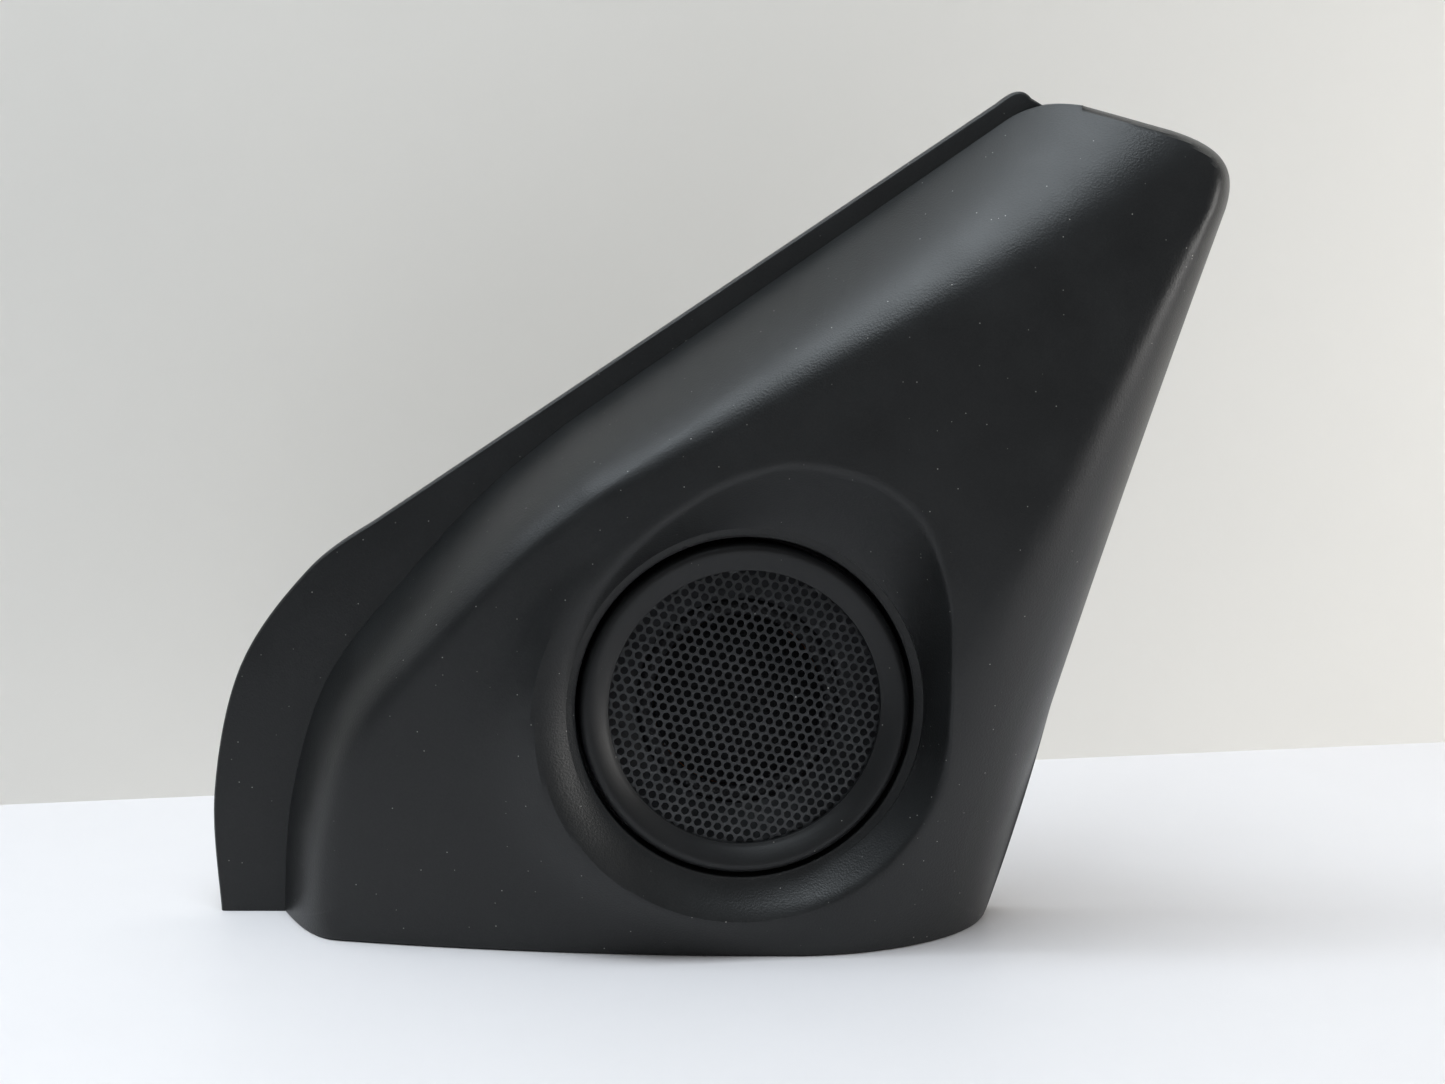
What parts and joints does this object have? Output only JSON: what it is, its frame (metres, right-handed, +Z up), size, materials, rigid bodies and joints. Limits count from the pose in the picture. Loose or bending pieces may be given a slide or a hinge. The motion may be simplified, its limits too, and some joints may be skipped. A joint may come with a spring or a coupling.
{
  "type": "car tweeter in sail trim panel",
  "caption": "Triangular mirror-corner trim panel for a right front door, with a dished pod holding a round dome tweeter behind a perforated grille.",
  "frame": {"origin": "on the door surface that the panel seats on, straight below the centre of the tweeter, at the level of the bottom rim", "axes": "+Z up, +Y into the door, +X to the panel's upright edge; the tweeter faces -Y, turned 8.3 degrees towards +X and 5 degrees up"},
  "size_m": [0.1534, 0.04, 0.1256],
  "materials": {
    "panel_plastic": "fine grain",
    "foam": "matt",
    "clip_plastic": "satin",
    "bezel_plastic": "satin",
    "grille_steel": "semi-gloss black",
    "horn_plastic": "gloss",
    "surround_cloth": "coated cloth",
    "ring_plastic": "satin",
    "tab_brass": "bright",
    "felt": "felt",
    "motor_steel": "zinc plated",
    "magnet_nickel": "nickel plated",
    "housing_plastic": "satin",
    "terminal_tin": "tin plated",
    "capacitor_sleeve": "shrink sleeve",
    "wire_red": "satin",
    "wire_black": "satin",
    "screw_steel": "zinc plated",
    "dome_film": "coated silk",
    "former_film": "polyimide",
    "coil_copper": "enamelled copper"
  },
  "bodies": {
    "panel_and_tweeter": {"trim_panel": "panel_plastic", "edge_foam_strip": "foam", "door_clip_upper": "clip_plastic", "door_clip_lower": "clip_plastic", "clip_seal_upper": "foam", "clip_seal_lower": "foam", "bezel_ring": "bezel_plastic", "grille_mesh": "grille_steel", "mounting_gasket": "foam", "horn_plate": "horn_plastic", "surround": "surround_cloth", "diaphragm_mount_ring": "ring_plastic", "coil_tab_positive": "tab_brass", "coil_tab_negative": "tab_brass", "dome_damping_pad": "felt", "pole_plate": "motor_steel", "magnet": "magnet_nickel", "yoke_cup": "motor_steel", "rear_damping_pad": "foam", "rear_housing": "housing_plastic", "terminal_positive": "terminal_tin", "terminal_negative": "terminal_tin", "crossover_capacitor": "capacitor_sleeve", "capacitor_lead_in": "terminal_tin", "capacitor_lead_out": "terminal_tin", "coil_lead_positive": "wire_red", "coil_lead_negative": "wire_black", "tweeter_screw_1": "screw_steel", "tweeter_screw_2": "screw_steel", "tweeter_screw_3": "screw_steel"},
    "diaphragm_assembly": {"dome_diaphragm": "dome_film", "voice_coil_former": "former_film", "voice_coil_winding": "coil_copper"}
  },
  "joints": [
    {"name": "diaphragm_travel", "type": "slide", "parent": "panel_and_tweeter", "child": "diaphragm_assembly", "axis": [0.1438, -0.9858, 0.0872], "range_m": [-0.0004, 0.0004], "stiffness_N_per_m": 500, "deforming": ["surround"]}
  ]
}
